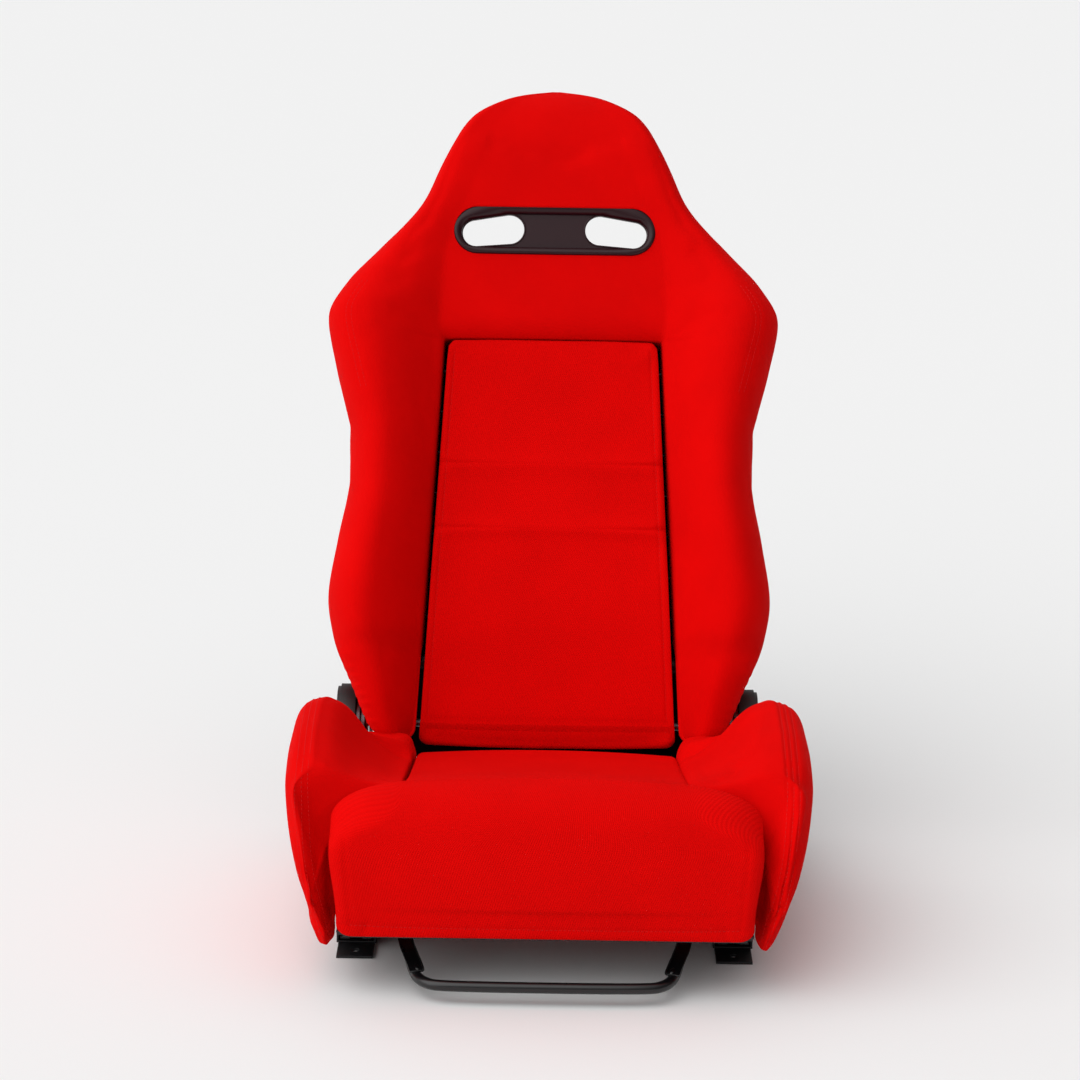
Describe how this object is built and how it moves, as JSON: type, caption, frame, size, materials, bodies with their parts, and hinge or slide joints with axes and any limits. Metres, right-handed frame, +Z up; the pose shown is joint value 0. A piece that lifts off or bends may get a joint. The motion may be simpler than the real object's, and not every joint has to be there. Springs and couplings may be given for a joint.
{
  "type": "reclining racing seat",
  "caption": "Red cloth bucket seat with deep thigh and shoulder bolsters, belt slots in the head section, a reclining back and a lift-bar that frees its slide rails.",
  "frame": {"origin": "on the floor, at the middle of the four floor bolts of the slide rails", "axes": "+X towards the sitter's left, +Y from the front of the seat to its back, +Z up from the floor"},
  "size_m": [0.573, 0.8405, 0.8724],
  "materials": {
    "black_steel": "satin black paint",
    "bar_gloss": "gloss black paint",
    "zinc_steel": "bright zinc",
    "plate_steel": "oiled bare steel",
    "spring_steel": "oil-blackened spring wire",
    "ball_steel": "polished",
    "cage_plastic": "natural nylon",
    "trim_plastic": "fine-grained black",
    "bezel_plastic": "satin brown-black",
    "rib_cloth": "fine ribbed red weave over foam",
    "knit_cloth": "smooth red knit over foam",
    "rear_cloth": "coarse black cloth on board"
  },
  "bodies": {
    "rails": {"lower_rail_left": "black_steel", "lower_rail_right": "black_steel", "rail_feet": "black_steel"},
    "ball_cages_body": {"ball_cages": "cage_plastic", "rail_balls": "ball_steel"},
    "lift_bar": {"slide_bar": "bar_gloss", "latch_plates": "plate_steel"},
    "backrest": {"side_plate_left": "plate_steel", "side_plate_right": "plate_steel", "back_frame_hoop": "black_steel", "head_loop": "black_steel", "lower_back_tube": "black_steel", "back_wires": "spring_steel", "back_insert": "rib_cloth", "wing_left": "knit_cloth", "wing_right": "knit_cloth", "head_pad": "knit_cloth", "back_panel": "rear_cloth", "belt_bezel_front": "bezel_plastic", "belt_bezel_rear": "bezel_plastic", "bezel_screws": "zinc_steel", "plate_rivets": "zinc_steel"},
    "lever": {"cross_rod": "plate_steel", "recline_lever": "black_steel", "lever_grip": "trim_plastic", "lever_nut": "zinc_steel", "rod_clip": "zinc_steel", "cam_plates": "plate_steel"},
    "pawl_l": {"pawl_left": "plate_steel"},
    "pawl_r": {"pawl_right": "plate_steel"},
    "seat": {"upper_rail_left": "black_steel", "upper_rail_right": "black_steel", "side_member_left": "black_steel", "side_member_right": "black_steel", "front_cross_tube": "black_steel", "rear_cross_tube": "black_steel", "front_pan": "black_steel", "front_edge_clip": "trim_plastic", "cushion_springs": "spring_steel", "cushion_centre": "rib_cloth", "cushion_front_roll": "rib_cloth", "thigh_bolster_left": "knit_cloth", "thigh_bolster_right": "knit_cloth", "recliner_base_left": "plate_steel", "recliner_base_right": "plate_steel", "pivot_washers": "zinc_steel", "recliner_bolts": "zinc_steel", "rail_bolts": "zinc_steel", "hinge_cover_left": "trim_plastic", "hinge_cover_right": "trim_plastic", "cover_screws": "trim_plastic", "bar_pivot_pins": "zinc_steel", "pawl_pins": "zinc_steel", "bar_return_springs": "spring_steel", "lever_return_spring": "spring_steel"}
  },
  "joints": [
    {"name": "seat_slide", "type": "slide", "parent": "rails", "child": "seat", "axis": [0, 1, 0], "range_m": [-0.11, 0.11]},
    {"name": "cage_slide", "type": "slide", "parent": "rails", "child": "ball_cages_body", "axis": [0, 1, 0], "range_m": [-0.055, 0.055]},
    {"name": "backrest_recline", "type": "hinge", "parent": "seat", "child": "backrest", "pos_m": [0, 0.2, 0.14], "axis": [-1, 0, 0], "range_deg": [-6, 50]},
    {"name": "lever_lift", "type": "hinge", "parent": "seat", "child": "lever", "pos_m": [0, 0.2, 0.14], "axis": [-1, 0, 0], "range_deg": [0, 30], "stiffness_Nm_per_rad": 1.2, "springref_deg": -20.05, "deforming": ["lever_return_spring"]},
    {"name": "pawl_left_swing", "type": "hinge", "parent": "seat", "child": "pawl_l", "pos_m": [0.221, 0.16, 0.11], "axis": [-1, 0, 0], "range_deg": [0, 5]},
    {"name": "pawl_right_swing", "type": "hinge", "parent": "seat", "child": "pawl_r", "pos_m": [-0.221, 0.16, 0.11], "axis": [-1, 0, 0], "range_deg": [0, 5]},
    {"name": "bar_lift", "type": "hinge", "parent": "seat", "child": "lift_bar", "pos_m": [0, 0.04, 0.033], "axis": [-1, 0, 0], "range_deg": [0, 5.5], "stiffness_Nm_per_rad": 8, "springref_deg": -28.65, "deforming": ["bar_return_springs"]}
  ],
  "couplings": [
    {"joint": "cage_slide", "follows": "seat_slide", "ratio": 0.5},
    {"joint": "pawl_left_swing", "follows": "lever_lift", "ratio": 0.15},
    {"joint": "pawl_right_swing", "follows": "lever_lift", "ratio": 0.15}
  ]
}
